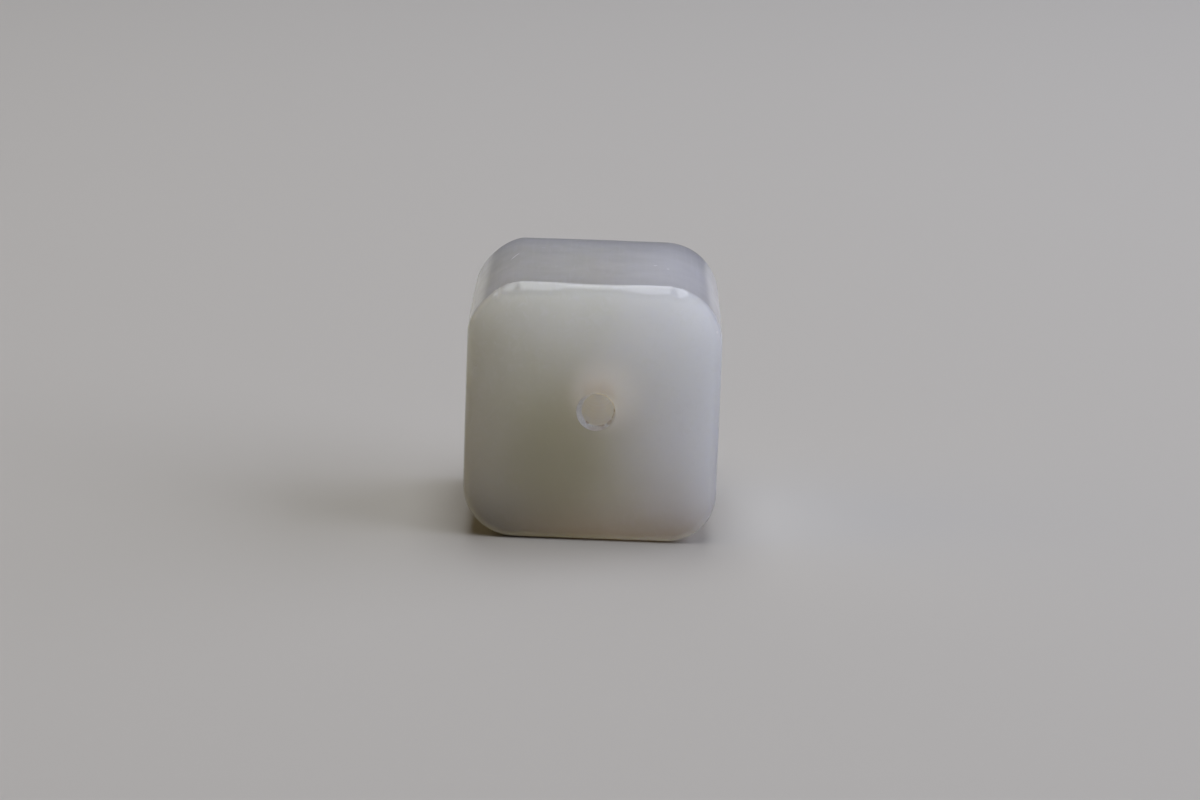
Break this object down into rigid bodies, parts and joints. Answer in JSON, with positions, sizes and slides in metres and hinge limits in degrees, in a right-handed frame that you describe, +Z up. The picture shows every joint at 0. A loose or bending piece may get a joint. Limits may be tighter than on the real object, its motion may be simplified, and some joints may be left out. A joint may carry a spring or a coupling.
{
  "type": "jade cube pendant",
  "caption": "Small block of polished white jade with rounded edges, drilled from end to end so that it hangs on a cord as a pendant.",
  "frame": {"origin": "middle of the footprint, on the surface that the stone stands on", "axes": "+Z up, the bore runs along Y, the end that faces a viewer points to -Y, +X to that viewer's right"},
  "size_m": [0.012, 0.012, 0.0123],
  "materials": {
    "white_jade": "polished, translucent"
  },
  "bodies": {
    "root": {"jade_cube": "white_jade"}
  },
  "joints": []
}
